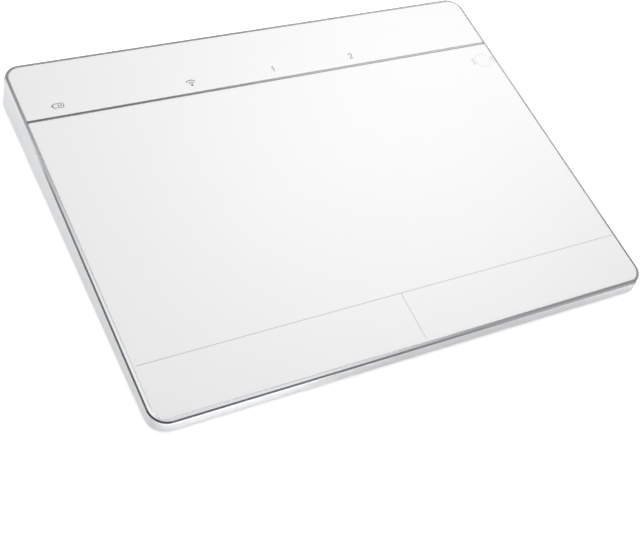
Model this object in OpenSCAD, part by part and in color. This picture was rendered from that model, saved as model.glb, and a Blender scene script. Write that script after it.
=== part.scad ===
// Wireless touchpad: a wedge-shaped metal case, a glass touch plate that is hinged at its rear
// and clicks at its front, and a fixed glass status strip behind it.
// Millimetres, +Z up, the user sits at -Y, and the origin is on the desk under the middle of the case.

/* [Case] */
// Width of the case
case_w = 165; // [150:1:180]
// Depth of the case, front to rear
case_d = 125.5; // [115:0.5:140]
// Height of the case at its front edge, without the feet
front_h = 4.8; // [4.5:0.1:6.5]
// Slope of the top, in degrees
tilt = 3; // [2.6:0.1:4]
// Corner radius of the case in plan
corner_r = 5.5; // [5:0.5:9]
// Thickness of the frame's wall
wall_t = 1.45; // [1.35:0.05:1.8]
// Width of the bright-cut chamfer round the top, seen from above
chamfer_run = 1.25; // [0.7:0.05:1.3]
// Depth of that chamfer
chamfer_drop = 0.6; // [0.3:0.05:0.9]
// Thickness of the base plate
base_t = 1; // [0.9:0.05:1.3]
// Gap between the base plate's edge and the frame
base_gap = 0.1; // [0.05:0.05:0.3]

/* [Front hooks] */
// Distance between neighbouring hooks on the base plate's front edge
hook_pitch = 45; // [30:1:60]
// Width of a hook
hook_w = 10; // [6:1:16]
// Thickness of a hook
hook_t = 0.5; // [0.4:0.05:0.7]
// Reach of a hook into the frame's wall
hook_l = 0.8; // [0.6:0.05:0.9]
// Clearance round a hook in its pocket
hook_gap = 0.1; // [0.05:0.05:0.15]

/* [Touch plate] */
// Thickness of the touch glass and of the status strip's glass
glass_t = 0.8; // [0.6:0.05:1.1]
// Thickness of the adhesive under the glass
adhesive_t = 0.15; // [0.1:0.05:0.25]
// Thickness of the touch sensor board
sensor_t = 1; // [0.8:0.1:1.2]
// Thickness of the stiffener plate
stiffener_t = 0.5; // [0.4:0.05:0.7]
// Gap between the glass and the frame
plate_gap = 0.2; // [0.15:0.05:0.35]
// How far the sensor board stands in from the glass's edge
sensor_inset = 2.6; // [2.2:0.1:4]
// Angle that the plate turns through when it is pressed, in degrees
press_angle = 0.25; // [0.15:0.01:0.3]

/* [Plate stop] */
// Length of the stop flange inside the frame's front wall
stop_l = 110; // [90:1:125]
// Reach of the stop flange from the wall
stop_w = 1.6; // [1.2:0.1:2]
// Thickness of the stop flange
stop_t = 0.5; // [0.4:0.05:0.6]
// Room left between the pressed glass and the stop flange
stop_room = 0.1; // [0.08:0.02:0.2]
// Gap between the stop flange and the lips that hold the plate down
lip_gap = 0.1; // [0.06:0.02:0.2]
// Width of one lip
lip_w = 36; // [20:1:40]
// Distance of a lip's middle from the centre line
lip_x = 30; // [25:1:34]
// Gap between a lip and the frame's wall
lip_wall_gap = 0.6; // [0.4:0.1:0.8]

/* [Status strip] */
// Distance from the case's rear edge to the middle of the gap between strip and touch plate
groove_back = 22.35; // [18:0.05:26]
// Width of that gap
groove_w = 0.8; // [0.5:0.05:1.2]
// Gap between the trim bead in it and the glass on each side
trim_gap = 0.15; // [0.1:0.01:0.2]
// How far the trim bead lies under the top
trim_down = 0.1; // [0.05:0.05:0.4]
// Thickness of the strip's carrier
carrier_t = 1; // [0.8:0.1:1.4]
// Gap between the carrier and the frame
carrier_gap = 0.3; // [0.2:0.05:0.5]
// How far the carrier reaches under the touch glass
carrier_lip = 1.2; // [0.8:0.1:1.6]
// Reach of the frame's ledge under the carrier
ledge_w = 2.2; // [1.6:0.1:3]
// Thickness of that ledge
ledge_t = 1.2; // [0.8:0.1:2]
// How far the strip's adhesive stands in from the glass's edge
strip_adhesive_inset = 0.6; // [0.4:0.1:1]

/* [Indicators] */
// Sideways place of the middle indicator
art_x = 1; // [-2:0.5:2]
// Distance between the three channel indicators
icon_pitch = 28.5; // [22:0.5:32]
// Distance of the battery indicator from the case's left side
battery_icon_in = 12; // [11:0.5:18]
// Distance of the indicators behind the strip's front edge
icon_back = 3.95; // [3.5:0.05:6]
// Diameter of a light guide
guide_d = 3; // [2:0.1:4]
// Diameter of the light guide's seat under the carrier
guide_seat_d = 4.4; // [4.2:0.1:5.5]
// Thickness of that seat
guide_seat_t = 0.6; // [0.4:0.1:1]
// Clearance of a light guide in the carrier
guide_gap = 0.1; // [0.05:0.05:0.2]
// Gap between an LED and the light guide above it
led_gap = 0.3; // [0.2:0.1:0.6]
// Length, width and height of an indicator LED
led_size = [1.6, 0.8, 0.55]; // [0.4:0.05:2]

/* [Hinge] */
// Distance of each hinge from the case's side
hinge_in = 32.5; // [25:0.5:37]
// How far the hinge line lies ahead of the plate's rear edge
hinge_ahead = 4; // [3.8:0.1:6]
// Depth of the hinge line under the stiffener
hinge_drop = 2; // [1.9:0.1:2.4]
// Diameter of a hinge pin
pin_d = 1.5; // [1.2:0.1:1.6]
// Radial running clearance of a knuckle on its pin
pin_play = 0.04; // [0.02:0.01:0.08]
// Radial clearance of the pin pressed into its ears
pin_fit = 0.01; // [0.01:0.01:0.02]
// Width of a knuckle
knuckle_w = 8; // [6:0.5:10]
// Diameter of a knuckle
knuckle_d = 2.8; // [2.5:0.1:3]
// Thickness of the web between knuckle and stiffener
web_t = 2; // [1.6:0.1:2.4]
// Thickness of a bracket's ear
ear_t = 2; // [1.5:0.1:2.5]
// Diameter of the ear's round end
ear_d = 3.2; // [2.8:0.1:3.4]
// Side gap between knuckle and ear
ear_gap = 0.15; // [0.1:0.05:0.3]
// Length of a bracket's foot
bracket_l = 24; // [23:0.5:28]
// Width of a bracket's foot
bracket_w = 6; // [5:0.5:7]
// Thickness of a bracket's foot
bracket_t = 1; // [0.8:0.1:1.2]
// Gap between a knuckle and the bracket's foot below it
knuckle_room = 0.4; // [0.3:0.1:0.6]
// Distance of a bracket screw from the middle of its hinge
bracket_screw_x = 9; // [8.5:0.1:10]

/* [Click switches] */
// Distance of each click switch from the case's side
click_side = 42.5; // [28:0.5:52]
// Distance of the click switches from the case's front edge
click_in = 12.75; // [11:0.25:20]
// Side of a click switch
click_w = 6; // [5:0.1:7]
// Height of a click switch
click_h = 1.3; // [1.3:0.05:1.6]
// Thickness of the switch's roof and of its cover
click_skin = 0.2; // [0.15:0.01:0.22]
// Diameter of the plunger
plunger_d = 2; // [1.6:0.1:2.4]
// How far the plunger stands out at rest
plunger_out = 0.45; // [0.42:0.01:0.6]
// Diameter of the plunger's collar
collar_d = 3; // [2.8:0.1:3.6]
// Thickness of the plunger's collar
collar_t = 0.25; // [0.2:0.01:0.28]
// Radial clearance of the plunger in its switch
plunger_play = 0.08; // [0.05:0.01:0.1]
// Gap between the collar and the cover under it
collar_rest = 0.03; // [0.02:0.01:0.04]
// Diameter of the snap dome
dome_d = 2.8; // [2:0.1:3]
// Rise of the snap dome
dome_h = 0.12; // [0.08:0.01:0.13]
// Thickness of the snap dome
dome_t = 0.06; // [0.04:0.01:0.07]
// Diameter of the post under a plunger
post_d = 3.5; // [3:0.1:5]
// Gap between a plunger and its post
post_gap = 0.05; // [0.03:0.01:0.1]
// Clearance round a switch, chip or connector in its window in the stiffener
window_gap = 1; // [0.6:0.1:1.5]

/* [Main board] */
// Thickness of the main board
board_t = 1; // [0.8:0.1:1.6]
// Height of the main board over the base plate
board_lift = 2; // [1.6:0.1:2.4]
// Space between the main board's ends and the frame
board_side = 7; // [6.6:0.1:8]
// Space between the main board and the frame's rear wall
board_rear_gap = 0.5; // [0.4:0.1:1]
// Distance of the main board behind the strip's front edge
board_front_gap = 2; // [1.5:0.1:2.4]
// Distance of the rear board screws from the board's ends
board_screw_in = 9; // [8:0.5:12]
// Distance of the front board screws from the centre line
board_screw_x = 40; // [38:0.5:44]
// Distance of the board screws from the board's long edges
board_screw_edge = 3.5; // [3:0.1:4]
// Diameter of a standoff under the board
standoff_d = 4.4; // [4:0.1:5]

/* [Chips] */
// Length, width and height of the main controller
controller_size = [7, 7, 0.9]; // [0.6:0.1:8]
// Place of the main controller, from the board's middle and front edge
controller_at = [-16, 10]; // [-17:0.5:11]
// Length, width and height of the crystal
crystal_size = [3.2, 2.5, 0.7]; // [0.6:0.1:3.4]
// Place of the crystal
crystal_at = [-23, 12]; // [-24:0.5:13]
// Length, width and height of the radio's shield can
shield_size = [12, 9, 1.6]; // [1.2:0.1:13]
// Place of the shield can, from the board's left end and front edge
shield_at = [24, 9]; // [8:0.5:25]
// Sheet thickness of the shield can
shield_t = 0.25; // [0.2:0.05:0.4]
// Length, width and height of the radio chip
radio_size = [5, 5, 0.8]; // [0.6:0.1:6]
// Length, width and height of the chip antenna
antenna_size = [3.2, 1.6, 1.1]; // [0.8:0.1:4]
// Place of the chip antenna, from the board's left end and front edge
antenna_at = [12, 5]; // [3:0.5:13]
// Length, width and height of the charging chip
charger_size = [3, 3, 0.8]; // [0.6:0.1:4]
// Place of the charging chip
charger_at = [12, 12]; // [11:0.5:13]
// Diameter of the charging coil
coil_d = 4; // [3:0.1:5]
// Height of the charging coil
coil_h = 1.6; // [1:0.1:2]
// Place of the charging coil
coil_at = [19, 12]; // [11:0.5:20]
// Length, width and height of the touch controller
touch_chip_size = [7, 7, 0.9]; // [0.6:0.1:8]
// Place of the touch controller, from the centre line and the hinge line
touch_chip_at = [-20, -30]; // [-34:0.5:-16]

/* [Flat flex cable] */
// Sideways place of the flat flex cable
flex_x = 20; // [16:0.5:22]
// Width of the cable
flex_w = 8; // [6:0.5:9]
// Thickness of the cable
flex_t = 0.25; // [0.2:0.05:0.3]
// Length, width and height of a flex connector
flex_socket_size = [11, 4, 1.4]; // [1.2:0.1:12]
// Depth of the slot in a flex connector
flex_slot_l = 3; // [2:0.1:3.4]
// Clearance round the cable in the slot
flex_gap = 0.12; // [0.1:0.01:0.2]
// How far the plate's flex connector lies ahead of the hinge line
flex_socket_ahead = 6; // [5:0.5:9]

/* [Battery] */
// Width of the battery cell
cell_w = 60; // [40:1:66]
// Depth of the battery cell
cell_d = 42; // [30:1:44]
// Thickness of the battery cell
cell_t = 3; // [2.5:0.1:3.2]
// Corner radius of the battery cell
cell_r = 2; // [1:0.5:4]
// Distance of the cell's rear edge ahead of the hinge line
cell_ahead = 5; // [4.5:0.1:8]
// Thickness of the foam pad under the cell
pad_t = 0.2; // [0.15:0.05:0.3]
// How far the foam pad stands in from the cell's edge
pad_inset = 3; // [2:0.5:6]
// Length, width and height of the battery's guard board
guard_size = [36, 3.4, 1]; // [0.8:0.1:40]
// Gap between the cell and the ribs round it
cell_gap = 0.4; // [0.3:0.1:0.6]
// Thickness of the ribs round the cell
rib_t = 1; // [0.8:0.1:1.4]
// Height of the ribs round the cell
rib_h = 0.8; // [0.6:0.1:1]
// Diameter of a battery lead
lead_d = 0.9; // [0.7:0.05:1.1]
// Distance between the two battery leads
lead_pitch = 2; // [1.5:0.1:2.4]
// Sideways place of the battery plug
plug_x = -10; // [-14:0.5:-7]
// Length, width and height of the battery header
header_size = [6, 4.4, 3]; // [2.8:0.1:6.4]
// Wall thickness of the battery header
header_t = 0.5; // [0.4:0.05:0.6]
// How far the battery plug stands out of its header
plug_out = 0.6; // [0.4:0.1:1]
// Clearance of the plug in its header
plug_gap = 0.05; // [0.03:0.01:0.1]

/* [Charging port] */
// Width of the port's shell, outside
usb_w = 8.94; // [8.94:0.01:9.2]
// Height of the port's shell, outside
usb_h = 3.26; // [3.26:0.01:3.4]
// Length of the port's shell
usb_l = 7.3; // [6.5:0.1:8]
// Sheet thickness of the port's shell
usb_t = 0.3; // [0.25:0.01:0.32]
// How far the shell's mouth stands in from the frame's rear face
usb_set = 0.3; // [0.1:0.05:0.6]
// Gap between the shell and the frame
usb_gap = 0.15; // [0.1:0.05:0.25]
// Width of the tongue
tongue_w = 6.69; // [6.6:0.01:6.8]
// Thickness of the tongue
tongue_t = 0.7; // [0.65:0.01:0.75]
// Length of the tongue
tongue_l = 4.45; // [4.2:0.05:4.6]
// Length of the block that carries the tongue
tongue_block_l = 1.6; // [1.2:0.1:1.8]
// Clearance of the tongue's block in the shell
tongue_gap = 0.03; // [0.02:0.01:0.05]

/* [Power switch] */
// Distance of the power switch from the case's right side
power_in = 37.5; // [31:0.5:47]
// Width of the knob
knob_w = 4.4; // [3.6:0.1:5]
// Height of the knob
knob_h = 1.9; // [1.6:0.1:2.2]
// Depth of the knob
knob_l = 1.3; // [1.1:0.05:1.35]
// Travel of the knob
knob_travel = 2.5; // [2:0.1:3]
// How far the knob's face stands in from the frame's rear face
knob_set = 0.1; // [0.05:0.05:0.25]
// Clearance round the knob in the frame's slot
knob_gap = 0.15; // [0.1:0.05:0.25]
// Number of grip grooves on the knob
grip_count = 4; // [2:1:5]
// Width and depth of a grip groove
grip_w = 0.3; // [0.2:0.05:0.4]
// Width of the stem between knob and switch
stem_w = 1.4; // [1:0.1:1.8]
// Height of the stem
stem_h = 1; // [0.8:0.1:1.2]
// How far the stem enters the switch
stem_in = 1.2; // [0.8:0.1:1.6]
// Clearance round the stem in the switch
stem_gap = 0.15; // [0.1:0.05:0.25]
// Length, width and height of the power switch
power_size = [8.6, 3.4, 2.6]; // [2.4:0.1:9]
// Distance of the power switch from the board's rear edge
power_back = 0.4; // [0.2:0.1:0.8]

/* [Fasteners] */
// Diameter of the base and carrier screws
screw_d = 2; // [1.8:0.1:2.2]
// Head diameter of the base and carrier screws
screw_head_d = 3.6; // [3.4:0.1:3.8]
// Length of the base and carrier screws
screw_l = 3.5; // [3:0.1:4]
// Diameter of the board and bracket screws
small_screw_d = 1.6; // [1.4:0.1:1.8]
// Head diameter of the board and bracket screws
small_head_d = 3; // [2.8:0.1:3.2]
// Head height of the board and bracket screws
small_head_h = 0.9; // [0.7:0.1:1]
// Radial clearance of a screw in its thread and in its hole
screw_gap = 0.05; // [0.03:0.01:0.08]
// Width of the cross recess in a screw head
cross_w = 0.5; // [0.4:0.05:0.6]
// Depth of the cross recess in a screw head
cross_h = 0.45; // [0.3:0.05:0.5]
// Diameter of a screw boss on the frame
boss_d = 5; // [4.6:0.1:5.4]
// How far a boss runs into the frame's wall
boss_sink = 0.4; // [0.2:0.1:0.6]
// Distance of the rear bosses from the case's rear edge
rear_boss_in = 10.5; // [9:0.5:12]
// Place of the side bosses, ahead of the case's middle
side_boss_ahead = 8; // [4:1:12]
// Space kept between a side boss and the pressed plate
boss_room = 0.5; // [0.3:0.1:0.8]
// Thread depth left free past a screw's end
thread_spare = 0.3; // [0.2:0.1:0.5]

/* [Feet] */
// How far a foot stands out under the base plate
foot_h = 0.8; // [0.6:0.1:1.5]
// Depth of a foot's recess in the base plate
foot_recess = 0.4; // [0.3:0.05:0.5]
// Diameter of a foot
foot_d = 9; // [7:0.5:12]
// Distance of a foot from the case's side
foot_in_x = 14; // [12:0.5:20]
// Distance of a foot from the case's front or rear edge
foot_in_y = 13; // [11:0.5:18]
// Radial clearance of a foot in its recess
foot_gap = 0.1; // [0.05:0.05:0.2]

/* [Hidden] */
$fn = 64;

// Overlap of a cutter past the face that it opens, the smallest corner radius of a sheet, and how far the
// chamfer's corner cones stand proud
cut = 1;
least_r = 0.5;
cone_proud = 0.02;
front_y = -case_d / 2;
rear_y = case_d / 2;
base_top = foot_h + base_t;
rear_h = front_h + case_d * tan(tilt);
// Length of the slope, and a height that clears the whole case
slope_l = case_d / cos(tilt);
over_h = rear_h + cut;

// Height of the top at a place y in plan, and the distance of that place up the slope
function top_z(y) = foot_h + front_h + (y - front_y) * tan(tilt);
function up_slope(y) = (y - front_y) / cos(tilt);
// Where a point at a level under the top comes to lie, as [y, z]; levels are negative downwards
function at_level(y, level) = [y - level * sin(tilt), top_z(y) + level * cos(tilt)];
// Level at which a vertical height z is met under the place y
function level_of(y, z) = (z - top_z(y)) / cos(tilt);

// Levels under the top, from the glass down
sensor_level = -glass_t - adhesive_t;
stiffener_level = sensor_level - sensor_t;
plate_under = stiffener_level - stiffener_t;
carrier_level = sensor_level;
carrier_under = carrier_level - carrier_t;

// Plan of the glass and of what lies under it
glass_in = wall_t + plate_gap;
glass_w = case_w - 2 * glass_in;
glass_r = corner_r - glass_in;
glass_front = front_y + glass_in;
groove_y = rear_y - groove_back;
plate_rear = groove_y - groove_w / 2;
strip_front = groove_y + groove_w / 2;
strip_rear = rear_y - glass_in;
sensor_w = glass_w - 2 * sensor_inset;
sensor_r = max(least_r, glass_r - sensor_inset);
sensor_front = glass_front + sensor_inset;
sensor_rear = plate_rear - sensor_inset;

// Hinge line, and how far the plate's parts sink when it is pressed
hinge_x = case_w / 2 - hinge_in;
hinge_y = plate_rear - hinge_ahead;
hinge_level = plate_under - hinge_drop;
axis_y = at_level(hinge_y, hinge_level)[0];
axis_z = at_level(hinge_y, hinge_level)[1];
pin_l = knuckle_w + 2 * ear_gap + 2 * ear_t;
bracket_top = axis_z - knuckle_d / 2 - knuckle_room;
pedestal_top = bracket_top - bracket_t;
function press_drop(y) = (hinge_y - y) / cos(tilt) * sin(press_angle);

// Stop flange and the lips that reach under it
stop_level = -glass_t - press_drop(glass_front) - stop_room;
stop_under = stop_level - stop_t;
lip_level = min(stiffener_level, stop_under - lip_gap);

// Click switches, from the sensor board down
click_x = case_w / 2 - click_side;
click_y = front_y + click_in;
click_under = stiffener_level - click_h;
chamber_top = stiffener_level - click_skin;
chamber_under = click_under + click_skin;
collar_under = chamber_under + collar_rest;
plunger_tip = click_under - plunger_out;
post_y = at_level(click_y, plunger_tip)[0];
post_top = at_level(click_y, plunger_tip)[1] - plunger_d / 2 * sin(tilt) - post_gap;

// Main board
board_z = base_top + board_lift;
board_top = board_z + board_t;
board_w = case_w - 2 * wall_t - 2 * board_side;
board_front = strip_front + board_front_gap;
board_rear = rear_y - wall_t - board_rear_gap;
board_end = [-board_w / 2, 0];
board_screws_at = [
    [-board_w / 2 + board_screw_in, board_rear - board_screw_edge],
    [board_w / 2 - board_screw_in, board_rear - board_screw_edge],
    [-board_screw_x, board_front + board_screw_edge],
    [board_screw_x, board_front + board_screw_edge]];
bracket_screws_at = [
    for (h = [-hinge_x, hinge_x], s = [-bracket_screw_x, bracket_screw_x]) [h + s, axis_y]];

// Indicators
icon_y = strip_front + icon_back;
icon_xs = [battery_icon_in - case_w / 2, art_x - icon_pitch, art_x, art_x + icon_pitch];
guide_under = level_of(icon_y, board_top + led_size[2] + led_gap);
led_y = at_level(icon_y, guide_under)[0];

// Flat flex cable
flex_level = plate_under - 2 * flex_gap - flex_t / 2;
flex_board_z = board_top + flex_socket_size[2] / 2;
flex_socket_y = hinge_y - flex_socket_ahead;
flex_slot_h = flex_t + 2 * flex_gap;

// Battery
cell_rear = hinge_y - cell_ahead;
cell_y = cell_rear - cell_d / 2;
cell_z = base_top + pad_t;
guard_z = cell_z + (cell_t - guard_size[2]) / 2;
header_y = board_front;
plug_w = header_size[0] - 2 * header_t - 2 * plug_gap;
plug_h = header_size[2] - 2 * header_t - 2 * plug_gap;
plug_z = board_top + header_size[2] / 2;
plug_front = header_y - plug_out;

// Charging port and power switch
usb_z = board_top + usb_h / 2;
usb_mouth = rear_y - usb_set;
knob_face = rear_y - knob_set;
power_x = case_w / 2 - power_in;
power_rear = board_rear - power_back;
power_z = board_top + power_size[2] / 2;
slot_w = knob_w + knob_travel + 2 * knob_gap;

// Screw bosses
boss_x = case_w / 2 - wall_t - boss_d / 2 + boss_sink;
rear_boss_y = rear_y - rear_boss_in;
side_boss_y = -side_boss_ahead;
side_boss_low = side_boss_y - boss_d / 2;
side_boss_top = top_z(side_boss_low) + plate_under / cos(tilt) - press_drop(side_boss_low) - boss_room;
head_h = (screw_head_d - screw_d) / 2;
foot_x = case_w / 2 - foot_in_x;
foot_y = case_d / 2 - foot_in_y;

// The sloping top's own frame: its origin is on the front edge, z is square to the top
module on_top() translate([0, front_y, foot_h + front_h]) rotate([tilt, 0, 0]) children();

// Upright block with round corners, standing on z = 0
module rounded_block(w, d, r, h) linear_extrude(h) {
    square([w - 2 * r, d], center = true);
    square([w, d - 2 * r], center = true);
    for (x = [-1, 1], y = [-1, 1]) translate([x * (w / 2 - r), y * (d / 2 - r)]) circle(r);
}

// Block with the case's plan drawn in by an inset, taller than the case; a spare lengthens each end
module case_block(inset, spare = 0) translate([0, 0, foot_h - spare])
    rounded_block(case_w - 2 * inset, case_d - 2 * inset, corner_r - inset, over_h + 2 * spare);

// Upright ring between two insets from the case's outer face
module case_ring(outer, inner) difference() {
    case_block(outer);
    case_block(inner, cut);
}

// Plate under the sloping top, between two places in plan, with its upper face at a level
module sloping_plate(w, y0, y1, level, t, front_r = 0, rear_r = 0)
    on_top() translate([0, 0, level - t]) linear_extrude(t) {
        a = up_slope(y0);
        b = up_slope(y1);
        inset = max(front_r, rear_r);
        translate([-w / 2, a + front_r]) square([w, b - a - front_r - rear_r]);
        translate([inset - w / 2, a]) square([w - 2 * inset, b - a]);
        for (x = [-1, 1]) {
            if (front_r > 0) translate([x * (w / 2 - front_r), a + front_r]) circle(front_r);
            if (rear_r > 0) translate([x * (w / 2 - rear_r), b - rear_r]) circle(rear_r);
        }
    }

// Outline with two round ends, such as the charging port's
module stadium(w, h) {
    square([w - h, h], center = true);
    for (x = [-1, 1]) translate([x * (w - h) / 2, 0]) circle(h / 2);
}

// Stadium-shaped bar along Y that ends at a place y, in the charging port's line
module port_bar(w, h, y, l) translate([0, y, usb_z]) rotate([90, 0, 0])
    linear_extrude(l) stadium(w, h);

// Block that stands on the main board, placed from the board's middle and front edge
module on_board(size, at)
    translate([at[0] - size[0] / 2, board_front + at[1] - size[1] / 2, board_top]) cube(size);

// Block under the touch sensor board, placed in plan
module under_sensor(size, x, y) on_top()
    translate([x - size[0] / 2, up_slope(y) - size[1] / 2, stiffener_level - size[2]]) cube(size);

// Cross recess for a screw head, cut downwards from z = 0
module cross_recess() for (a = [0, 90]) rotate(a)
    translate([-screw_d / 2, -cross_w / 2, -cross_h]) cube([screw_d, cross_w, cross_h + cut]);

// Flat-head screw that points down from its head's face at z = 0
module flat_screw() difference() {
    union() {
        translate([0, 0, -head_h]) cylinder(d1 = screw_d, d2 = screw_head_d, h = head_h);
        translate([0, 0, -screw_l]) cylinder(d = screw_d, h = screw_l - head_h / 2);
    }
    cross_recess();
}

// Countersunk hole for that screw, open upwards
module flat_screw_hole() {
    translate([0, 0, -head_h])
        cylinder(d1 = screw_d + 2 * screw_gap, d2 = screw_head_d + 2 * screw_gap, h = head_h);
    translate([0, 0, -screw_l - thread_spare])
        cylinder(d = screw_d + 2 * screw_gap, h = screw_l + thread_spare);
    translate([0, 0, -screw_gap]) cylinder(d = screw_head_d + 2 * screw_gap, h = cut + screw_gap);
}

// Pan-head screw that points down from the face it clamps at z = 0
module pan_screw(l) difference() {
    union() {
        cylinder(d = small_head_d, h = small_head_h);
        translate([0, 0, -l]) cylinder(d = small_screw_d, h = l + small_head_h / 2);
    }
    translate([0, 0, small_head_h]) cross_recess();
}

// Places of the screws that hold the base plate, and of those that hold the strip's carrier
module at_base_screws() for (x = [-boss_x, boss_x], y = [rear_boss_y, side_boss_y])
    translate([x, y, foot_h]) rotate([180, 0, 0]) children();
module at_carrier_screws() for (x = [-boss_x, boss_x])
    on_top() translate([x, up_slope(rear_boss_y), carrier_level]) children();

// Everything under the sloping chamfer: its sides go on outwards below the frame's edge, and its corner
// cones stand a hair proud of the flat sides, so that they cross them in a clean edge
module chamfer_tent() on_top() translate([0, -chamfer_drop * tan(tilt), -over_h]) {
    spread = chamfer_run * (over_h / chamfer_drop - 1);
    x = case_w / 2;
    near = corner_r;
    far = slope_l - corner_r;
    cone_r = corner_r + cone_proud;
    translate([corner_r - x, 0, 0]) rotate([90, 0, 90]) linear_extrude(2 * (x - corner_r)) polygon([
        [-spread, 0], [chamfer_run, over_h], [slope_l - chamfer_run, over_h], [slope_l + spread, 0]]);
    translate([0, far, 0]) rotate([90, 0, 0]) linear_extrude(far - near) polygon([
        [-x - spread, 0], [chamfer_run - x, over_h], [x - chamfer_run, over_h], [x + spread, 0]]);
    for (sx = [-1, 1], y = [near, far]) translate([sx * (x - corner_r), y, 0])
        cylinder(r1 = cone_r + spread, r2 = cone_r - chamfer_run, h = over_h);
}

// Flange inside the front wall: the pressed glass comes down on it, and the stiffener's lips reach under it
module stop_flange() intersection() {
    on_top() translate([-stop_l / 2, 0, stop_under]) cube([stop_l, corner_r, stop_t]);
    case_ring(wall_t / 2, wall_t + stop_w);
}

// Ledge inside the side and rear walls that carries the strip's carrier
module strip_ledge() intersection() {
    on_top() translate([-case_w / 2, up_slope(strip_front + groove_w), carrier_under - ledge_t])
        cube([case_w, groove_back, ledge_t]);
    case_ring(wall_t / 2, wall_t + ledge_w);
}

// Screw bosses: the rear ones take a base screw and a carrier screw, the side ones a base screw
module frame_bosses() for (x = [-boss_x, boss_x]) {
    intersection() {
        translate([x, rear_boss_y, base_top]) cylinder(d = boss_d, h = rear_h);
        on_top() translate([-case_w / 2, 0, carrier_under - 2 * rear_h])
            cube([case_w, slope_l, 2 * rear_h]);
    }
    translate([x, side_boss_y, base_top]) cylinder(d = boss_d, h = side_boss_top - base_top);
}

// Metal frame: a milled ring with upright walls and a bright-cut chamfer round its sloping top
module housing_frame() color("gainsboro") difference() {
    union() {
        intersection() {
            case_ring(0, wall_t);
            chamfer_tent();
        }
        stop_flange();
        strip_ledge();
        frame_bosses();
    }
    at_base_screws() flat_screw_hole();
    at_carrier_screws() flat_screw_hole();
    port_bar(usb_w + 2 * usb_gap, usb_h + 2 * usb_gap, rear_y + cut, wall_t + ledge_w + 2 * cut);
    translate([power_x - knob_w / 2 - knob_gap, rear_y - wall_t - cut, power_z - knob_h / 2 - knob_gap])
        cube([slot_w, wall_t + 2 * cut, knob_h + 2 * knob_gap]);
    for (i = [-1:1])
        translate([i * hook_pitch - hook_w / 2 - hook_gap, front_y + wall_t + base_gap - hook_l - hook_gap,
                base_top - hook_t - hook_gap])
            cube([hook_w + 2 * hook_gap, hook_l + cut, hook_t + 2 * hook_gap]);
}

// Moulded base plate: hooks into the frame at the front, screwed at the sides and rear
module base_plate() color("whitesmoke") difference() {
    union() {
        translate([0, 0, foot_h]) rounded_block(case_w - 2 * (wall_t + base_gap),
            case_d - 2 * (wall_t + base_gap), corner_r - wall_t - base_gap, base_t);
        for (i = [-1:1])
            translate([i * hook_pitch - hook_w / 2, front_y + wall_t + base_gap - hook_l,
                    base_top - hook_t])
                cube([hook_w, hook_l + cut, hook_t]);
        for (p = board_screws_at) translate([p[0], p[1], foot_h + base_t / 2])
            cylinder(d = standoff_d, h = board_z - foot_h - base_t / 2);
        for (x = [-hinge_x, hinge_x])
            translate([x - bracket_l / 2, axis_y - bracket_w / 2, foot_h + base_t / 2])
                cube([bracket_l, bracket_w, pedestal_top - foot_h - base_t / 2]);
        for (x = [-click_x, click_x]) translate([x, post_y, foot_h + base_t / 2])
            cylinder(d = post_d, h = post_top - foot_h - base_t / 2);
        translate([0, cell_y, foot_h + base_t / 2]) difference() {
            rounded_block(cell_w + 2 * (cell_gap + rib_t), cell_d + 2 * (cell_gap + rib_t),
                cell_r + cell_gap + rib_t, base_t / 2 + rib_h);
            translate([0, 0, base_t / 2])
                rounded_block(cell_w + 2 * cell_gap, cell_d + 2 * cell_gap, cell_r + cell_gap, rib_h + cut);
        }
    }
    for (x = [-foot_x, foot_x], y = [-foot_y, foot_y]) translate([x, y, foot_h - cut])
        cylinder(d = foot_d + 2 * foot_gap, h = foot_recess + cut);
    at_base_screws() flat_screw_hole();
    for (p = board_screws_at) translate([p[0], p[1], base_top - base_t / 2])
        cylinder(d = small_screw_d + 2 * screw_gap, h = board_lift + base_t);
    for (p = bracket_screws_at) translate([p[0], p[1], base_top - base_t / 2])
        cylinder(d = small_screw_d + 2 * screw_gap, h = pedestal_top - foot_h);
}

// Rubber foot glued into its recess
module rubber_foot(x, y) color("dimgray") translate([x * foot_x, y * foot_y, 0])
    cylinder(d = foot_d, h = foot_h + foot_recess);
module foot_front_left() rubber_foot(-1, -1);
module foot_front_right() rubber_foot(1, -1);
module foot_rear_left() rubber_foot(-1, 1);
module foot_rear_right() rubber_foot(1, 1);

// Flat-head screws through the base plate into the frame's bosses
module base_screws() color("silver") at_base_screws() flat_screw();

// White glass of the touch plate
module touch_glass() color("white")
    sloping_plate(glass_w, glass_front, plate_rear, 0, glass_t, front_r = glass_r);

// Adhesive sheet between the glass and the sensor board
module touch_adhesive() color("lightblue")
    sloping_plate(sensor_w, sensor_front, sensor_rear, -glass_t, adhesive_t, front_r = sensor_r);

// Touch sensor board bonded under the glass
module touch_sensor_board() color("seagreen")
    sloping_plate(sensor_w, sensor_front, sensor_rear, sensor_level, sensor_t, front_r = sensor_r);

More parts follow.
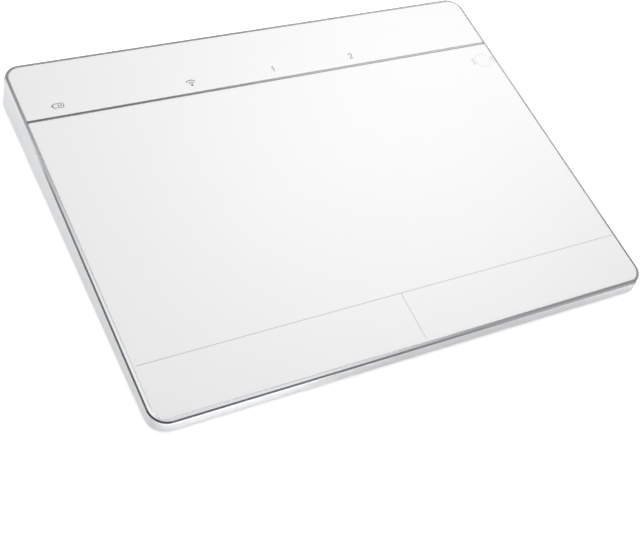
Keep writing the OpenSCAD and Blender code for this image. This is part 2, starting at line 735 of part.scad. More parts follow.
// Stiffener: a stamped plate under the sensor board, with windows, stop lips and hinge knuckles
module stiffener_plate() color("darkgray") difference() {
    union() {
        sloping_plate(sensor_w, sensor_front, sensor_rear, stiffener_level, stiffener_t,
            front_r = sensor_r);
        for (x = [-lip_x, lip_x]) stop_lip(x);
        for (x = [-hinge_x, hinge_x])
            on_top() translate([x - knuckle_w / 2, up_slope(hinge_y), hinge_level]) {
                rotate([0, 90, 0]) cylinder(d = knuckle_d, h = knuckle_w);
                translate([0, -web_t / 2, 0]) cube([knuckle_w, web_t, hinge_drop + stiffener_t / 2]);
            }
    }
    for (x = [-hinge_x, hinge_x])
        on_top() translate([x - knuckle_w / 2 - cut, up_slope(hinge_y), hinge_level])
            rotate([0, 90, 0]) cylinder(d = pin_d + 2 * pin_play, h = knuckle_w + 2 * cut);
    for (x = [-click_x, click_x]) plate_window([click_w, click_w], x, click_y);
    plate_window(touch_chip_size, touch_chip_at[0], hinge_y + touch_chip_at[1]);
    plate_window(flex_socket_size, flex_x, flex_socket_y);
}

// Lip that reaches under the stop flange and keeps the plate from lifting
module stop_lip(x) on_top() translate([x - lip_w / 2, 0, 0]) {
    lip_front = up_slope(front_y + wall_t + lip_wall_gap);
    root = up_slope(sensor_front);
    translate([0, lip_front, lip_level - stiffener_t])
        cube([lip_w, root - lip_front + stiffener_t, stiffener_t]);
    translate([0, root, lip_level - stiffener_t])
        cube([lip_w, stiffener_t, stiffener_level - lip_level + stiffener_t]);
}

// Window in the stiffener round a piece of a given size
module plate_window(size, x, y) on_top()
    translate([x - size[0] / 2 - window_gap, up_slope(y) - size[1] / 2 - window_gap, plate_under - cut])
        cube([size[0] + 2 * window_gap, size[1] + 2 * window_gap, stiffener_t + 2 * cut]);

// Touch controller chip under the sensor board
module touch_controller() color("black")
    under_sensor(touch_chip_size, touch_chip_at[0], hinge_y + touch_chip_at[1]);

// Flex connector under the sensor board, open to the rear
module flex_socket_plate() color("ivory") difference() {
    under_sensor(flex_socket_size, flex_x, flex_socket_y);
    on_top() translate([flex_x - flex_w / 2 - flex_gap,
            up_slope(flex_socket_y) + flex_socket_size[1] / 2 - flex_slot_l, flex_level - flex_slot_h / 2])
        cube([flex_w + 2 * flex_gap, flex_slot_l + cut, flex_slot_h]);
}

// Click switch body: a low block with a stepped chamber for the plunger
module click_switch(x) color("dimgray") difference() {
    under_sensor([click_w, click_w, click_h], x, click_y);
    on_top() translate([x, up_slope(click_y), 0]) {
        translate([0, 0, chamber_under])
            cylinder(d = collar_d + 2 * plunger_play, h = chamber_top - chamber_under);
        translate([0, 0, click_under - cut])
            cylinder(d = plunger_d + 2 * plunger_play, h = cut + click_skin + collar_rest);
    }
}
module left_click_switch() click_switch(-click_x);
module right_click_switch() click_switch(click_x);

// Snap dome: a shallow sprung disc under the switch's roof
module snap_dome(x) color("gold")
    on_top() translate([x, up_slope(click_y), chamber_top - dome_h]) difference() {
        cylinder(d1 = dome_d / 2, d2 = dome_d, h = dome_h);
        translate([0, 0, dome_t])
            cylinder(d1 = dome_d / 2 - dome_t, d2 = dome_d - dome_t, h = dome_h);
    }
module left_snap_dome() snap_dome(-click_x);
module right_snap_dome() snap_dome(click_x);

// Plunger: held in its switch by a collar, and resting over its post on the base plate
module plunger(x) color("firebrick") on_top() translate([x, up_slope(click_y), 0]) {
    translate([0, 0, plunger_tip]) cylinder(d = plunger_d, h = collar_under + collar_t - plunger_tip);
    translate([0, 0, collar_under]) cylinder(d = collar_d, h = collar_t);
}
module left_plunger() plunger(-click_x);
module right_plunger() plunger(click_x);

// Hinge bracket: a foot screwed to its pedestal, and two ears with the pin between them
module hinge_bracket(x) color("slategray") difference() {
    union() {
        translate([x - bracket_l / 2, axis_y - bracket_w / 2, pedestal_top])
            cube([bracket_l, bracket_w, bracket_t]);
        for (s = [x - pin_l / 2, x + pin_l / 2 - ear_t]) {
            translate([s, axis_y - ear_d / 2, pedestal_top]) cube([ear_t, ear_d, axis_z - pedestal_top]);
            translate([s, axis_y, axis_z]) rotate([0, 90, 0]) cylinder(d = ear_d, h = ear_t);
        }
    }
    translate([x - pin_l, axis_y, axis_z]) rotate([0, 90, 0])
        cylinder(d = pin_d + 2 * pin_fit, h = 2 * pin_l);
    for (s = [-bracket_screw_x, bracket_screw_x]) translate([x + s, axis_y, pedestal_top - cut])
        cylinder(d = small_screw_d + 2 * screw_gap, h = bracket_t + 2 * cut);
}
module left_hinge_bracket() hinge_bracket(-hinge_x);
module right_hinge_bracket() hinge_bracket(hinge_x);

// Steel hinge pin pressed into the bracket's ears
module hinge_pin(x) color("silver") translate([x - pin_l / 2, axis_y, axis_z])
    rotate([0, 90, 0]) cylinder(d = pin_d, h = pin_l);
module left_hinge_pin() hinge_pin(-hinge_x);
module right_hinge_pin() hinge_pin(hinge_x);

// Screws that hold the hinge brackets to the base plate
module hinge_screws() color("silver") for (p = bracket_screws_at) translate([p[0], p[1], bracket_top])
    pan_screw(bracket_top - base_top);

// White glass of the status strip
module status_strip() color("white")
    sloping_plate(glass_w, strip_front, strip_rear, 0, glass_t, rear_r = glass_r);

// Adhesive between the strip and its carrier, cut away over the light guides
module strip_adhesive() color("lightblue") difference() {
    sloping_plate(glass_w - 2 * strip_adhesive_inset, strip_front + strip_adhesive_inset,
        strip_rear - strip_adhesive_inset, -glass_t, adhesive_t, rear_r = glass_r - strip_adhesive_inset);
    guide_holes();
}

// Drawn metal bead glued to the carrier's lip, in the gap between the strip and the touch plate
module trim_bead() color("silver") on_top()
    translate([-glass_w / 2, up_slope(plate_rear) + trim_gap, carrier_level])
        cube([glass_w, up_slope(strip_front) - up_slope(plate_rear) - 2 * trim_gap,
            -trim_down - carrier_level]);

// Holes for the light guides through the carrier and the adhesive
module guide_holes() for (x = icon_xs) on_top() translate([x, up_slope(icon_y), carrier_under - cut])
    cylinder(d = guide_d + 2 * guide_gap, h = carrier_t + 2 * cut);

// Moulded carrier under the strip: its front lip closes the gap towards the touch plate from below
module strip_carrier() color("darkslategray") difference() {
    sloping_plate(case_w - 2 * (wall_t + carrier_gap), plate_rear - carrier_lip,
        rear_y - wall_t - carrier_gap, carrier_level, carrier_t, rear_r = corner_r - wall_t - carrier_gap);
    guide_holes();
    at_carrier_screws() flat_screw_hole();
}

// Flat-head screws that hold the carrier, hidden under the strip
module carrier_screws() color("silver") at_carrier_screws() flat_screw();

// Light guide: a clear pillar from just over its LED to the underside of the strip
module light_guide(i) color("lightcyan") on_top() translate([icon_xs[i], up_slope(icon_y), 0]) {
    translate([0, 0, guide_under]) cylinder(d = guide_d, h = -glass_t - guide_under);
    translate([0, 0, carrier_under - guide_seat_t]) cylinder(d = guide_seat_d, h = guide_seat_t);
}
module light_guide_battery() light_guide(0);
module light_guide_wireless() light_guide(1);
module light_guide_channel_1() light_guide(2);
module light_guide_channel_2() light_guide(3);

// Indicator LED on the main board
module indicator_led(i) color("ivory")
    translate([icon_xs[i] - led_size[0] / 2, led_y - led_size[1] / 2, board_top]) cube(led_size);
module led_battery() indicator_led(0);
module led_wireless() indicator_led(1);
module led_channel_1() indicator_led(2);
module led_channel_2() indicator_led(3);

// Main circuit board on its standoffs
module main_board() color("darkgreen") difference() {
    translate([-board_w / 2, board_front, board_z]) cube([board_w, board_rear - board_front, board_t]);
    for (p = board_screws_at) translate([p[0], p[1], board_z - cut])
        cylinder(d = small_screw_d + 2 * screw_gap, h = board_t + 2 * cut);
}

// Screws that hold the main board
module board_screws() color("silver") for (p = board_screws_at) translate([p[0], p[1], board_top])
    pan_screw(board_top - base_top);

// Chips and other small pieces on the main board
module main_controller() color("black") on_board(controller_size, controller_at);
module crystal() color("silver") on_board(crystal_size, crystal_at);
module radio_chip() color("black") on_board(radio_size, board_end + shield_at);
module chip_antenna() color("ivory") on_board(antenna_size, board_end + antenna_at);
module charging_chip() color("black") on_board(charger_size, charger_at);
module charging_coil() color("dimgray")
    translate([coil_at[0], board_front + coil_at[1], board_top]) cylinder(d = coil_d, h = coil_h);

// Shield can over the radio chip, open towards the board
module radio_shield() color("silver") difference() {
    on_board(shield_size, board_end + shield_at);
    translate([0, 0, -shield_t])
        on_board(shield_size - [2 * shield_t, 2 * shield_t, 0], board_end + shield_at);
}

// Flex connector on the main board, open to the front
module flex_socket_board() color("ivory") difference() {
    translate([flex_x - flex_socket_size[0] / 2, board_front, board_top]) cube(flex_socket_size);
    translate([flex_x - flex_w / 2 - flex_gap, board_front - cut, flex_board_z - flex_slot_h / 2])
        cube([flex_w + 2 * flex_gap, flex_slot_l + cut, flex_slot_h]);
}

// Flat flex cable: along the plate, down to the main board and into its connector
module flat_flex_cable() color("white") {
    plate_end = at_level(flex_socket_y + flex_socket_size[1] / 2 - flex_slot_l + flex_gap, flex_level);
    plate_bend = at_level(hinge_y, flex_level);
    board_bend = [board_front - 2 * flex_gap, flex_board_z];
    slot_end = [board_front + flex_slot_l - flex_gap, flex_board_z];
    up = [0, flex_t / 2];
    path = [plate_end, plate_bend, board_bend, slot_end];
    outline = concat([for (p = path) p + up], [for (i = [3:-1:0]) path[i] - up]);
    translate([flex_x - flex_w / 2, 0, 0]) rotate([90, 0, 90]) linear_extrude(flex_w) polygon(outline);
}

// Flat lithium cell, glued to the base plate between its ribs
module battery_cell() color("silver") translate([0, cell_y, cell_z])
    rounded_block(cell_w, cell_d, cell_r, cell_t);
module battery_pad() color("lightblue") translate([0, cell_y, base_top])
    rounded_block(cell_w - 2 * pad_inset, cell_d - 2 * pad_inset, cell_r, pad_t);

// Guard board at the cell's rear edge, where the leads start
module battery_guard_board() color("darkgreen")
    translate([-guard_size[0] / 2, cell_rear, guard_z]) cube(guard_size);

// Battery lead: straight back from the guard board, up, and into the plug
module battery_lead(x) {
    start = [x, cell_rear + guard_size[1], guard_z + guard_size[2] / 2];
    finish = [x, plug_front, plug_z];
    run = (finish[1] - start[1]) / 3;
    path = [start, start + [0, run, 0], finish - [0, run, 0], finish];
    for (i = [0:2]) {
        d = path[i + 1] - path[i];
        translate(path[i]) rotate([-atan2(d[1], d[2]), 0, 0]) cylinder(d = lead_d, h = norm(d));
        if (i > 0) translate(path[i]) sphere(d = lead_d);
    }
}
module battery_lead_positive() color("red") battery_lead(plug_x - lead_pitch / 2);
module battery_lead_negative() color("black") battery_lead(plug_x + lead_pitch / 2);

// Battery plug, and its header on the main board
module battery_plug() color("white") translate([plug_x - plug_w / 2, plug_front, plug_z - plug_h / 2])
    cube([plug_w, header_size[1] - header_t + plug_out - plug_gap, plug_h]);
module battery_header() color("ivory") difference() {
    translate([plug_x - header_size[0] / 2, header_y, board_top]) cube(header_size);
    translate([plug_x - header_size[0] / 2 + header_t, header_y - cut, board_top + header_t])
        cube([header_size[0] - 2 * header_t, header_size[1] - header_t + cut,
            header_size[2] - 2 * header_t]);
}

// Charging port: a drawn steel shell, and the tongue in its moulded block
module charging_port_shell() color("silver") difference() {
    port_bar(usb_w, usb_h, usb_mouth, usb_l);
    port_bar(usb_w - 2 * usb_t, usb_h - 2 * usb_t, usb_mouth + cut, usb_l + 2 * cut);
}
module charging_port_tongue() color("black") {
    block_front = usb_mouth - usb_l + tongue_block_l;
    port_bar(usb_w - 2 * usb_t - 2 * tongue_gap, usb_h - 2 * usb_t - 2 * tongue_gap,
        block_front, tongue_block_l);
    translate([-tongue_w / 2, block_front - tongue_block_l / 2, usb_z - tongue_t / 2])
        cube([tongue_w, tongue_l + tongue_block_l / 2, tongue_t]);
}

// Slide switch on the main board, with a slot in its rear face for the knob's stem
module power_switch() color("dimgray") difference() {
    translate([power_x - stem_w / 2 - (power_size[0] - stem_w - knob_travel) / 2,
            power_rear - power_size[1], board_top]) cube(power_size);
    translate([power_x - stem_w / 2 - stem_gap, power_rear - stem_in - stem_gap,
            power_z - stem_h / 2 - stem_gap])
        cube([stem_w + knob_travel + 2 * stem_gap, stem_in + stem_gap + cut, stem_h + 2 * stem_gap]);
}

// Knob in the frame's rear slot, with grip grooves and a stem into the switch
module power_knob() color("white") difference() {
    union() {
        translate([power_x - knob_w / 2, knob_face - knob_l, power_z - knob_h / 2])
            cube([knob_w, knob_l, knob_h]);
        translate([power_x - stem_w / 2, power_rear - stem_in, power_z - stem_h / 2])
            cube([stem_w, knob_face - knob_l / 2 - power_rear + stem_in, stem_h]);
    }
    for (i = [1:grip_count])
        translate([power_x + knob_w * (i / (grip_count + 1) - 1 / 2) - grip_w / 2, knob_face - grip_w,
                power_z - knob_h / 2 - cut])
            cube([grip_w, grip_w + cut, knob_h + 2 * cut]);
}

housing_frame();
base_plate();
foot_front_left();
foot_front_right();
foot_rear_left();
foot_rear_right();
base_screws();
touch_glass();
touch_adhesive();
touch_sensor_board();
stiffener_plate();
touch_controller();
flex_socket_plate();
left_click_switch();
right_click_switch();
left_snap_dome();
right_snap_dome();
left_plunger();
right_plunger();
left_hinge_bracket();
right_hinge_bracket();
left_hinge_pin();
right_hinge_pin();
hinge_screws();
status_strip();
strip_adhesive();
trim_bead();
strip_carrier();
carrier_screws();
light_guide_battery();
light_guide_wireless();
light_guide_channel_1();
light_guide_channel_2();
led_battery();
led_wireless();
led_channel_1();
led_channel_2();
main_board();
board_screws();
main_controller();
crystal();
radio_shield();
radio_chip();
chip_antenna();
charging_chip();
charging_coil();
flex_socket_board();
flat_flex_cable();
battery_cell();
battery_pad();
battery_guard_board();
battery_lead_positive();
battery_lead_negative();
battery_plug();
battery_header();
charging_port_shell();
charging_port_tongue();
power_switch();
power_knob();
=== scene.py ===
import math
import bmesh
import bpy
from mathutils import Matrix, Vector


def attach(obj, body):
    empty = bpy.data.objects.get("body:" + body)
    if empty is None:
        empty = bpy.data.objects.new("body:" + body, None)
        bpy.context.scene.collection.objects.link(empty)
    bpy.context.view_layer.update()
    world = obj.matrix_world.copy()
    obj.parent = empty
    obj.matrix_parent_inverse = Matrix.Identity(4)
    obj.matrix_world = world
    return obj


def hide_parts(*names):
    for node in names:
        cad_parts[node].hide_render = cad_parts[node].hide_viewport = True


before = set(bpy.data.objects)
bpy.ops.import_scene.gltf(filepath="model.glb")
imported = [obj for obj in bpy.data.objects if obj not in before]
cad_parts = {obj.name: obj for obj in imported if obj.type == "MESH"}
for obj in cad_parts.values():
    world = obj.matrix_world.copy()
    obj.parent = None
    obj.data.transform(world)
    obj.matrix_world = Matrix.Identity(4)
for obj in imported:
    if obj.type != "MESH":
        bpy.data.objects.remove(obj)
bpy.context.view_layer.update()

# Housing frame
# One ring of aluminium, milled to a wedge and coated satin white. A diamond tool then cuts the bright rim
# round its top in two facets, and its inner faces stay bare. Its rear wall is open for the charging port
# and the power knob.
case_w, case_d, corner_r = 165.0, 125.5, 5.5
foot_h, front_h = 0.8, 4.8
tilt = math.radians(3.0)
rim_w, rim_drop, knee_in, knee_drop = 1.1, 0.768, 0.43, 0.252
land_w, wall_t = 0.08, 1.45
wall_band, rim_band, lower_edge_r = 2.0, 2.2, 0.35
port_w, port_h, port_z, port_flare = 9.24, 3.56, 6.43, 0.25
slot_w, slot_h, slot_x, slot_z, slot_r, slot_flare = 7.2, 2.2, 46.25, 6.1, 0.5, 0.2
cut_from, cut_to = 60.0, 62.8


def top_z(y):
    """Height of the sloping top over the desk at a place y in plan, in millimetres."""
    return foot_h + front_h + (y + case_d / 2) * math.tan(tilt)


def outline(x0, x1, y0, y1, front_r, rear_r, steps):
    """Rectangle with round corners, anticlockwise: each point is x, y and its outward normal."""
    corners = [(x1 - front_r, y0 + front_r, -90, front_r), (x1 - rear_r, y1 - rear_r, 0, rear_r),
               (x0 + rear_r, y1 - rear_r, 90, rear_r), (x0 + front_r, y0 + front_r, 180, front_r)]
    loop = []
    for x, y, start, r in corners:
        for i in range(steps + 1):
            a = math.radians(start + 90 * i / steps)
            loop.append((x + r * math.cos(a), y + r * math.sin(a), math.cos(a), math.sin(a)))
    return loop


def eased(points, radii, steps=4):
    """A profile's corners rounded to the given radii; 0 leaves a corner as it is."""
    out = []
    for i, (p, r) in enumerate(zip(points, radii)):
        p = Vector(p)
        if r == 0:
            out.append(tuple(p))
            continue
        u = (Vector(points[i - 1]) - p).normalized()
        v = (Vector(points[(i + 1) % len(points)]) - p).normalized()
        half = u.angle(v) / 2
        centre = p + (u + v).normalized() * (r / math.sin(half))
        a = (p + u * (r / math.tan(half)) - centre).normalized()
        b = (p + v * (r / math.tan(half)) - centre).normalized()
        for k in range(steps + 1):
            out.append(tuple(centre + a.slerp(b, k / steps) * r))
    return out


def on_slope(loop, inset, level):
    """One ring of a sloping piece: its outline drawn in, at a level under the top."""
    return [(x - nx * inset, y - ny * inset, top_z(y - ny * inset) + level) for x, y, nx, ny in loop]


def lofted(name, rings, body, capped=True):
    """A closed skin over rings of points in millimetres: capped at both ends, or run back to its start."""
    n = len(rings[0])
    points = [tuple(c / 1000 for c in p) for ring in rings for p in ring]
    faces = []
    for a in range(len(rings) - 1 if capped else len(rings)):
        b = (a + 1) % len(rings)
        faces += [(a * n + i, a * n + (i + 1) % n, b * n + (i + 1) % n, b * n + i) for i in range(n)]
    if capped:
        faces += [tuple(range(n)), tuple(range((len(rings) - 1) * n, len(rings) * n))]
    return piece(name, points, faces, body)


def piece(name, points, faces, body):
    """An object made where it belongs, in metres, with its faces turned outwards, riding on a body."""
    mesh = bpy.data.meshes.new(name)
    mesh.from_pydata(points, [], faces)
    skin = bmesh.new()
    skin.from_mesh(mesh)
    bmesh.ops.remove_doubles(skin, verts=skin.verts, dist=1e-7)
    bmesh.ops.recalc_face_normals(skin, faces=skin.faces)
    skin.to_mesh(mesh)
    skin.free()
    obj = bpy.data.objects.new(name, mesh)
    bpy.context.collection.objects.link(obj)
    soften(obj)
    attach(obj, body)
    return obj


def soften(obj):
    """Smooth shading that stays flat on the flat faces and breaks at sharp edges."""
    sharp_over = 40
    obj.data.shade_smooth()
    obj.data.set_sharp_from_angle(angle=math.radians(sharp_over))
    weighted = obj.modifiers.new("flat faces stay flat", "WEIGHTED_NORMAL")
    weighted.keep_sharp = True


def drilled(obj, cutter):
    """Takes a cutter's volume out of an object, and the cutter out of the scene."""
    hole = obj.modifiers.new("hole", "BOOLEAN")
    hole.object = cutter
    obj.modifiers.move(len(obj.modifiers) - 1, 0)
    others = [m for m in obj.modifiers if m != hole]
    for m in others:
        m.show_viewport = False
    mesh = bpy.data.meshes.new_from_object(obj.evaluated_get(bpy.context.evaluated_depsgraph_get()))
    obj.modifiers.remove(hole)
    for m in others:
        m.show_viewport = True
    obj.data = mesh
    bpy.data.objects.remove(cutter)


def stadium(w, h, y, z, grow):
    """Ring with two round ends in an upright plane across the case, grown outwards."""
    r = h / 2 + grow
    steps = 16
    ring = []
    for side in (1, -1):
        for i in range(steps + 1):
            a = math.radians(-90 + 180 * i / steps)
            ring.append((side * ((w - h) / 2 + r * math.cos(a)), y, z + side * r * math.sin(a)))
    return ring


wall_foot = eased([(wall_t, 0.0), (0.0, 0.0), (0.0, wall_band)], [0, lower_edge_r, 0])
rim_line = [(0.0, -rim_band), (0.0, -rim_drop), (knee_in, -knee_drop), (rim_w, 0.0), (rim_w + land_w, 0.0),
            (rim_w + land_w, -rim_band)]
rim_edge_r = [0, 0.1, 0.2, 0.1, 0.03, 0]
rim = eased(rim_line, rim_edge_r)
case_plan = outline(-case_w / 2, case_w / 2, -case_d / 2, case_d / 2, corner_r, corner_r, 20)
frame_rings = [[(x - nx * d, y - ny * d, foot_h + h) for x, y, nx, ny in case_plan] for d, h in wall_foot]
frame_rings += [on_slope(case_plan, d, h) for d, h in rim]
housing = lofted("housing_frame_ring", frame_rings, "housing", capped=False)
port_rings = [stadium(port_w, port_h, y, port_z, grow)
              for y, grow in ((cut_from, 0.0), (cut_to - port_flare, 0.0), (cut_to, port_flare))]
drilled(housing, lofted("port_cutter", port_rings, "housing"))
slot_plan = outline(slot_x - slot_w / 2, slot_x + slot_w / 2, slot_z - slot_h / 2, slot_z + slot_h / 2,
                    slot_r, slot_r, 6)
slot_rings = [[(x + nx * grow, y, z + nz * grow) for x, z, nx, nz in slot_plan]
              for y, grow in ((cut_from, 0.0), (cut_to - slot_flare, 0.0), (cut_to, slot_flare))]
drilled(housing, lofted("slot_cutter", slot_rings, "housing"))
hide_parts("housing_frame")


def linear(code):
    """An sRGB hex colour as Blender's linear red, green, blue and alpha."""
    parts = [int(code[i:i + 2], 16) / 255 for i in (1, 3, 5)]
    return [c / 12.92 if c <= 0.04045 else ((c + 0.055) / 1.055) ** 2.4 for c in parts] + [1.0]


def add(tree, kind, values=(), links=()):
    """Adds a node: values set its settings or inputs by name or number, and links feed its inputs."""
    made = tree.nodes.new(kind)
    for key, value in dict(values).items():
        if isinstance(key, int) or key in made.inputs:
            made.inputs[key].default_value = value
        else:
            setattr(made, key, value)
    for key, socket in dict(links).items():
        tree.links.new(socket, made.inputs[key])
    return made


def finish(name, **sockets):
    """A new material with its shader's sockets set, as the material, its tree and its shader."""
    material = bpy.data.materials.new(name)
    material.use_nodes = True
    shader = material.node_tree.nodes["Principled BSDF"]
    for key, value in sockets.items():
        shader.inputs[key.replace("_", " ")].default_value = value
    return material, material.node_tree, shader


# Satin white coat over the aluminium: a cool white with a low sheen. Its orange peel is about 0.6 mm wide.
coated, tree, shader = finish("white_coated_aluminium", Roughness=0.42, IOR=1.5)
place = add(tree, "ShaderNodeTexCoord").outputs["Object"]
peel = add(tree, "ShaderNodeTexNoise", {"Scale": 1000 / 0.6, "Detail": 2.0}, {"Vector": place})
tone = add(tree, "ShaderNodeMix", {"data_type": "RGBA", 6: linear("#EBECEE"), 7: linear("#F0F1F3")},
           {0: peel.outputs["Fac"]})
bump = add(tree, "ShaderNodeBump", {"Strength": 0.12, "Distance": 0.00002}, {"Height": peel.outputs["Fac"]})
tree.links.new(tone.outputs[2], shader.inputs["Base Color"])
tree.links.new(bump.outputs["Normal"], shader.inputs["Normal"])

# Bright-cut aluminium: a near mirror, made uneven by faint tool marks about 0.3 mm wide.
bright_cut, tree, shader = finish("bright_cut_aluminium", Metallic=1.0)
place = add(tree, "ShaderNodeTexCoord").outputs["Object"]
marks = add(tree, "ShaderNodeTexNoise", {"Scale": 1000 / 0.3, "Detail": 1.0}, {"Vector": place})
rough = add(tree, "ShaderNodeMapRange", {"To Min": 0.1, "To Max": 0.16}, {"Value": marks.outputs["Fac"]})
tone = add(tree, "ShaderNodeMix", {"data_type": "RGBA", 6: linear("#E6E7EA"), 7: linear("#EEEFF1")},
           {0: marks.outputs["Fac"]})
tree.links.new(tone.outputs[2], shader.inputs["Base Color"])
tree.links.new(rough.outputs["Result"], shader.inputs["Roughness"])

# Machined aluminium on the inner faces, which the coat leaves bare: satin grey, with the cutter's marks about
# 0.4 mm wide.
machined, tree, shader = finish("machined_aluminium", Metallic=1.0, Roughness=0.45)
place = add(tree, "ShaderNodeTexCoord").outputs["Object"]
cuts = add(tree, "ShaderNodeTexNoise", {"Scale": 1000 / 0.4, "Detail": 1.0}, {"Vector": place})
tone = add(tree, "ShaderNodeMix", {"data_type": "RGBA", 6: linear("#A9AAAC"), 7: linear("#B9BABC")},
           {0: cuts.outputs["Fac"]})
tree.links.new(tone.outputs[2], shader.inputs["Base Color"])

housing.data.materials.clear()
for material in (coated, bright_cut, machined):
    housing.data.materials.append(material)
# The tool cuts faces that look up, and the coat leaves out those that look in towards the middle.
square_to_top = Vector((0.0, -math.sin(tilt), math.cos(tilt)))
cut_over, bare_under = 0.12, -0.0025
for face in housing.data.polygons:
    middle = face.center * 1000
    outward = face.normal.x * middle.x / case_w ** 2 + face.normal.y * middle.y / case_d ** 2
    if face.normal.dot(square_to_top) > cut_over:
        face.material_index = 1
    elif outward < bare_under:
        face.material_index = 2


# Base plate
# A white ABS moulding with a fine spark-eroded texture on its underside. It hooks into the frame at the
# front, and four flat-head screws hold it at the sides and rear.
def dress(material, *nodes):
    """Gives CAD nodes a material."""
    for name in nodes:
        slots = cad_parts[name].material_slots
        if not slots:
            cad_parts[name].data.materials.append(material)
        for one in slots:
            one.material = material


# Moulded ABS: a soft white with a low sheen and an even pebble of about 0.4 mm.
abs_white, tree, shader = finish("white_abs", Roughness=0.55, IOR=1.54)
place = add(tree, "ShaderNodeTexCoord").outputs["Object"]
pebble = add(tree, "ShaderNodeTexNoise", {"Scale": 1000 / 0.4, "Detail": 3.0}, {"Vector": place})
tone = add(tree, "ShaderNodeMix", {"data_type": "RGBA", 6: linear("#E9E9E8"), 7: linear("#EFEFEE")},
           {0: pebble.outputs["Fac"]})
bump = add(tree, "ShaderNodeBump", {"Strength": 0.25, "Distance": 0.00004}, {"Height": pebble.outputs["Fac"]})
tree.links.new(tone.outputs[2], shader.inputs["Base Color"])
tree.links.new(bump.outputs["Normal"], shader.inputs["Normal"])
dress(abs_white, "base_plate")

# Plated steel: the screws' grey-white metal, with the slight cloudiness of barrel plating over about 1 mm.
plated_steel, tree, shader = finish("plated_steel", Metallic=1.0)
place = add(tree, "ShaderNodeTexCoord").outputs["Object"]
cloud = add(tree, "ShaderNodeTexNoise", {"Scale": 1000 / 1.0, "Detail": 3.0}, {"Vector": place})
rough = add(tree, "ShaderNodeMapRange", {"To Min": 0.22, "To Max": 0.38}, {"Value": cloud.outputs["Fac"]})
tone = add(tree, "ShaderNodeMix", {"data_type": "RGBA", 6: linear("#B9BABC"), 7: linear("#CBCCCE")},
           {0: cloud.outputs["Fac"]})
tree.links.new(tone.outputs[2], shader.inputs["Base Color"])
tree.links.new(rough.outputs["Result"], shader.inputs["Roughness"])
dress(plated_steel, "base_screws", "hinge_screws", "carrier_screws", "board_screws", "left_hinge_bracket",
      "right_hinge_bracket", "left_hinge_pin", "right_hinge_pin", "radio_shield", "crystal")


# Feet
# Four silicone rubber discs, die-cut with a soft lower edge and glued into recesses in the base plate.
foot_r, foot_x, foot_y, foot_t = 4.5, 68.5, 49.75, 1.2
foot_core, foot_soft_r, foot_cut_r, foot_sides = 0.4, 0.3, 0.05, 48
foot_profile = eased([(foot_core, 0.0), (foot_r, 0.0), (foot_r, foot_t), (foot_core, foot_t)],
                     [0, foot_soft_r, foot_cut_r, 0])
foot_turns = [math.tau * i / foot_sides for i in range(foot_sides)]

# Silicone rubber: matt mid grey with a dusty bloom in patches of about 2 mm.
rubber, tree, shader = finish("silicone_rubber", Roughness=0.8, IOR=1.41)
place = add(tree, "ShaderNodeTexCoord").outputs["Object"]
bloom = add(tree, "ShaderNodeTexNoise", {"Scale": 1000 / 2.0, "Detail": 5.0}, {"Vector": place})
tone = add(tree, "ShaderNodeMix", {"data_type": "RGBA", 6: linear("#6E6F71"), 7: linear("#7D7E80")},
           {0: bloom.outputs["Fac"]})
bump = add(tree, "ShaderNodeBump", {"Strength": 0.2, "Distance": 0.00005}, {"Height": bloom.outputs["Fac"]})
tree.links.new(tone.outputs[2], shader.inputs["Base Color"])
tree.links.new(bump.outputs["Normal"], shader.inputs["Normal"])
for row, y in (("front", -foot_y), ("rear", foot_y)):
    for side, x in (("left", -foot_x), ("right", foot_x)):
        rings = [[(x + r * math.cos(a), y + r * math.sin(a), z) for a in foot_turns] for r, z in foot_profile]
        foot = lofted("foot_%s_%s_pad" % (row, side), rings, "housing")
        foot.data.materials.append(rubber)
        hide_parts("foot_%s_%s" % (row, side))


# Touch plate's glass
# A sheet of white back-printed glass with its edges ground round, bonded to the sensor board a hair under
# the rim. The plate hangs on two hinges at its rear, and its front corners follow the frame's.
glass_t, glass_in, glass_down, groove_y, groove_w = 0.8, 1.27, 0.05, 40.33, 0.86
edge_in, edge_r, gap_corner_r, corner_steps = 0.25, 0.1, 0.4, 16
half_w = case_w / 2 - glass_in
glass_r = corner_r - glass_in
edge_line = eased([(edge_in, -glass_down), (0.0, -glass_down), (0.0, -glass_t), (edge_in, -glass_t)],
                  [0, edge_r, edge_r, 0])
plate_plan = outline(-half_w, half_w, -case_d / 2 + glass_in, groove_y - groove_w / 2, glass_r, gap_corner_r,
                     corner_steps)
plate_rings = [on_slope(plate_plan, d, h) for d, h in edge_line]
plate = lofted("touch_glass_sheet", plate_rings, "touch_plate")
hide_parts("touch_glass")

# White glass with an etched top: a clean white with a satin gloss. The etch is about 0.05 mm and is drawn
# at 0.3 mm; broad patches of 40 mm vary the gloss a little, as handling does.
white_glass, tree, shader = finish("etched_white_glass", IOR=1.52)
place = add(tree, "ShaderNodeTexCoord").outputs["Object"]
etch = add(tree, "ShaderNodeTexNoise", {"Scale": 1000 / 0.3, "Detail": 2.0}, {"Vector": place})
patch = add(tree, "ShaderNodeTexNoise", {"Scale": 1000 / 40, "Detail": 3.0}, {"Vector": place})
tone = add(tree, "ShaderNodeMix", {"data_type": "RGBA", 6: linear("#F3F3F3"), 7: linear("#F6F6F6")},
           {0: etch.outputs["Fac"]})
rough = add(tree, "ShaderNodeMapRange", {"To Min": 0.32, "To Max": 0.4}, {"Value": patch.outputs["Fac"]})
bump = add(tree, "ShaderNodeBump", {"Strength": 0.05, "Distance": 0.00001}, {"Height": etch.outputs["Fac"]})
tree.links.new(tone.outputs[2], shader.inputs["Base Color"])
tree.links.new(rough.outputs["Result"], shader.inputs["Roughness"])
tree.links.new(bump.outputs["Normal"], shader.inputs["Normal"])
plate.data.materials.append(white_glass)


# Print on the touch plate
# Screen-printed ceramic ink, fired on: the line that marks off the click zones, the divider between them,
# and a faint ring with ticks at the rear right.
ink_up, ink_down = 0.012, -0.02


